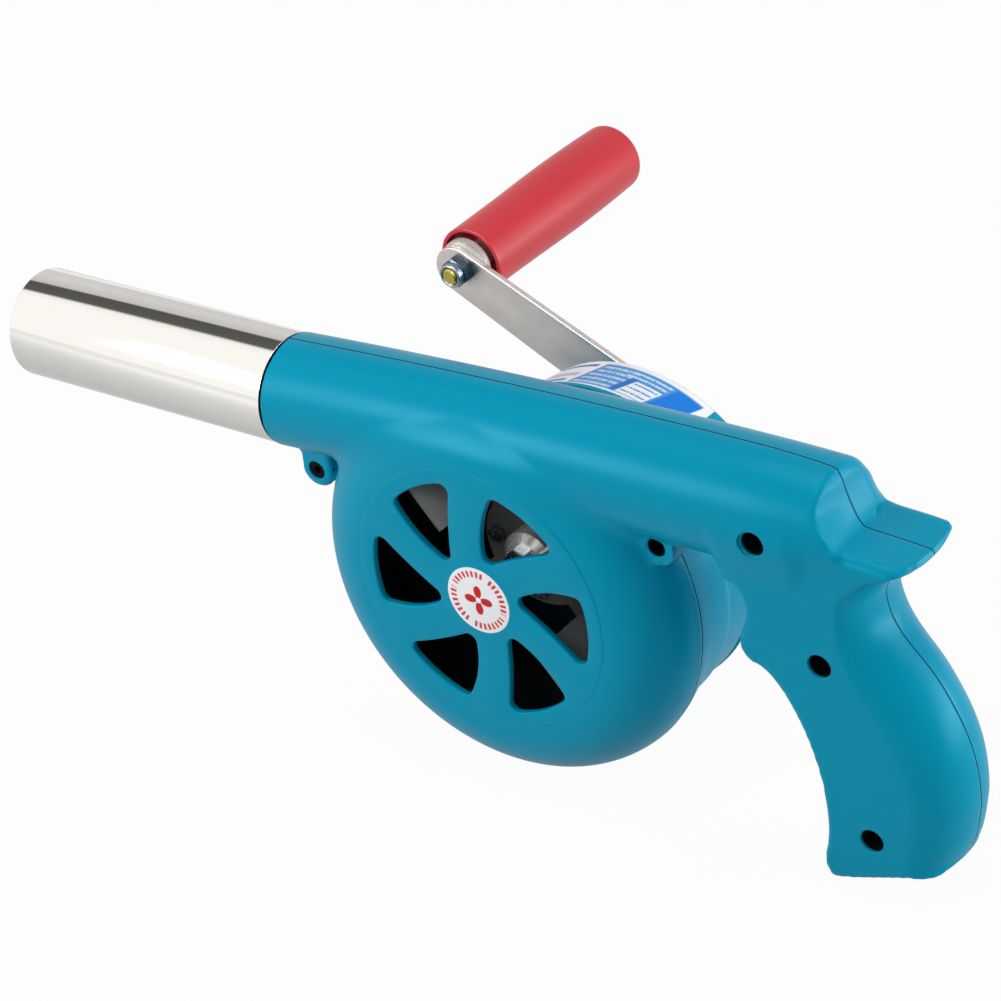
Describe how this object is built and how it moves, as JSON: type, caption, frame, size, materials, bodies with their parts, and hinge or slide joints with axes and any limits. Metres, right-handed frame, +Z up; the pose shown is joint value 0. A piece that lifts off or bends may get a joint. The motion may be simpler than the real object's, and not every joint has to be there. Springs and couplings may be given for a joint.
{
  "type": "hand crank fan",
  "caption": "Pistol-shaped hand crank blower: two teal half shells, steel nozzle tube, round intake with swirl openings, gearbox drum, flat crank arm and red turning handle.",
  "frame": {"origin": "centre of the nozzle mouth", "axes": "+X from the nozzle back towards the grip, +Z up, +Y towards the gearbox and crank, the shells meet on y = 0"},
  "size_m": [0.3086, 0.1612, 0.1222],
  "materials": {
    "teal_abs": "satin moulded ABS",
    "polished_stainless": "polished",
    "label_film": null,
    "sticker_film": null,
    "zinc_steel": "bright zinc plate",
    "steel": "turned steel",
    "zinc_sheet": "stamped zinc sheet",
    "arm_sheet": "dull scratched strip",
    "bronze": "sintered bronze",
    "gear_nylon": "natural nylon",
    "yellow_zinc": "yellow passivated zinc",
    "red_plastic": "satin moulded plastic"
  },
  "bodies": {
    "housing": {"intake_shell": "teal_abs", "gear_shell": "teal_abs", "gearbox_cover": "teal_abs", "nozzle_tube": "polished_stainless", "intake_label": "label_film", "drum_sticker": "sticker_film", "housing_screws": "zinc_steel", "cover_screws": "zinc_steel", "frame_screws": "zinc_steel", "frame_pillars": "steel", "gear_frame_front": "zinc_sheet", "gear_frame_rear": "zinc_sheet", "crank_bushes": "bronze", "impeller_bush": "bronze", "idler_axle": "steel", "idler_clips": "zinc_steel"},
    "crank": {"crank_shaft": "steel", "drive_gear": "gear_nylon", "crank_arm": "arm_sheet", "crank_washer": "zinc_steel", "crank_nut": "zinc_steel", "spindle_bolt": "yellow_zinc", "spindle_nut": "zinc_steel", "spindle_washer": "zinc_steel"},
    "idler": {"idler_gear": "steel", "idler_pinion": "steel"},
    "impeller": {"impeller_shaft": "steel", "impeller_pinion": "steel", "impeller_hub": "zinc_steel", "impeller_wheel": "zinc_sheet", "wheel_rivets": "zinc_steel", "impeller_nut": "zinc_steel"},
    "handle": {"crank_handle": "red_plastic", "handle_end_plug": "red_plastic"}
  },
  "joints": [
    {"name": "crank_turn", "type": "hinge", "parent": "housing", "child": "crank", "pos_m": [0.182, 0, -0.0293], "axis": [0, 1, 0], "continuous": true},
    {"name": "idler_spin", "type": "hinge", "parent": "housing", "child": "idler", "pos_m": [0.18043, 0, -0.05926], "axis": [0, 1, 0], "continuous": true},
    {"name": "impeller_spin", "type": "hinge", "parent": "housing", "child": "impeller", "pos_m": [0.1665, 0, -0.0385], "axis": [0, 1, 0], "continuous": true},
    {"name": "handle_spin", "type": "hinge", "parent": "crank", "child": "handle", "pos_m": [0.107, 0, 0.00948], "axis": [0, 1, 0], "continuous": true}
  ],
  "couplings": [
    {"joint": "idler_spin", "follows": "crank_turn", "ratio": -4},
    {"joint": "impeller_spin", "follows": "crank_turn", "ratio": 16}
  ]
}
